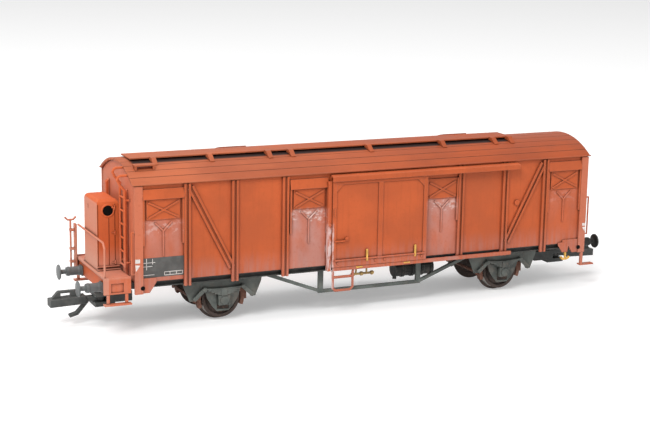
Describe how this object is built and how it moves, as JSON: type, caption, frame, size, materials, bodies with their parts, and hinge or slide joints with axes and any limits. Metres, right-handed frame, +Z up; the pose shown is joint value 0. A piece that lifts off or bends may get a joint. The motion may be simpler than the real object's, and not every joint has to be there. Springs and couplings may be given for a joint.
{
  "type": "model railway covered goods wagon",
  "caption": "Model covered goods wagon: hollow body with an arched roof and sliding doors, a brakeman's booth on an end platform, turning wheelsets and swinging couplers.",
  "frame": {"origin": "centre of the overall box at the foot of the wheel flanges", "axes": "+X along the wagon towards the plain end, away from the booth; +Y towards the far side; +Z up"},
  "size_m": [0.13, 0.0252, 0.0344],
  "materials": {
    "body_paint": "matt",
    "roof_paint": "matt",
    "frame_paint": "matt",
    "wheel_steel": "blackened",
    "brake_rust": "matt",
    "knob_brass": "satin",
    "hook_yellow": "satin",
    "buffer_grey": "satin"
  },
  "bodies": {
    "wagon": {"air_cylinder": "frame_paint", "axle_box_cab_far": "frame_paint", "axle_box_cab_near": "frame_paint", "axle_box_plain_far": "frame_paint", "axle_box_plain_near": "frame_paint", "axle_guard_cab_far": "frame_paint", "axle_guard_cab_near": "frame_paint", "axle_guard_plain_far": "frame_paint", "axle_guard_plain_near": "frame_paint", "booth": "body_paint", "brake_cab_inner": "brake_rust", "brake_cab_outer": "brake_rust", "brake_plain_inner": "brake_rust", "brake_plain_outer": "brake_rust", "brake_stand": "body_paint", "buffer_cab_far": "buffer_grey", "buffer_cab_near": "buffer_grey", "buffer_plain_far": "buffer_grey", "buffer_plain_near": "buffer_grey", "changeover_gear": "knob_brass", "coupler_box_cab": "frame_paint", "coupler_box_plain": "frame_paint", "door_lower_rail_far": "body_paint", "door_lower_rail_near": "body_paint", "door_step_far": "body_paint", "door_step_near": "body_paint", "door_top_rail_far": "body_paint", "door_top_rail_near": "body_paint", "end_wall_cab": "body_paint", "end_wall_plain": "body_paint", "ladder": "body_paint", "platform": "body_paint", "platform_step_far": "body_paint", "platform_step_near": "body_paint", "railing": "body_paint", "roof": "roof_paint", "roof_cover_cab": "roof_paint", "roof_cover_plain": "roof_paint", "roof_step_board": "roof_paint", "roof_walkway": "roof_paint", "rope_hook_far": "hook_yellow", "rope_hook_near": "hook_yellow", "shunter_step_far": "body_paint", "shunter_step_near": "body_paint", "side_wall_far": "body_paint", "side_wall_near": "body_paint", "spring_cab_far": "frame_paint", "spring_cab_near": "frame_paint", "spring_plain_far": "frame_paint", "spring_plain_near": "frame_paint", "truss_far": "frame_paint", "truss_near": "frame_paint", "underframe": "frame_paint"},
    "wheelset_cab": {"wheelset_cab": "wheel_steel"},
    "wheelset_plain": {"wheelset_plain": "wheel_steel"},
    "door_near": {"door_near": "body_paint"},
    "door_far": {"door_far": "body_paint"},
    "coupler_cab": {"coupler_cab": "frame_paint"},
    "coupler_plain": {"coupler_plain": "frame_paint"}
  },
  "joints": [
    {"name": "wheelset_cab_spin", "type": "hinge", "parent": "wagon", "child": "wheelset_cab", "pos_m": [-0.0308, 0, 0.00475], "axis": [0, 1, 0], "continuous": true},
    {"name": "wheelset_plain_spin", "type": "hinge", "parent": "wagon", "child": "wheelset_plain", "pos_m": [0.0359, 0, 0.00475], "axis": [0, 1, 0], "continuous": true},
    {"name": "door_near_slide", "type": "slide", "parent": "wagon", "child": "door_near", "axis": [1, 0, 0], "range_m": [0, 0.0208]},
    {"name": "door_far_slide", "type": "slide", "parent": "wagon", "child": "door_far", "axis": [-1, 0, 0], "range_m": [0, 0.0208]},
    {"name": "coupler_cab_swing", "type": "hinge", "parent": "wagon", "child": "coupler_cab", "pos_m": [-0.05452, 0, 0.00535], "axis": [0, 0, 1], "range_deg": [-8, 8]},
    {"name": "coupler_plain_swing", "type": "hinge", "parent": "wagon", "child": "coupler_plain", "pos_m": [0.05452, 0, 0.00535], "axis": [0, 0, 1], "range_deg": [-8, 8]}
  ]
}
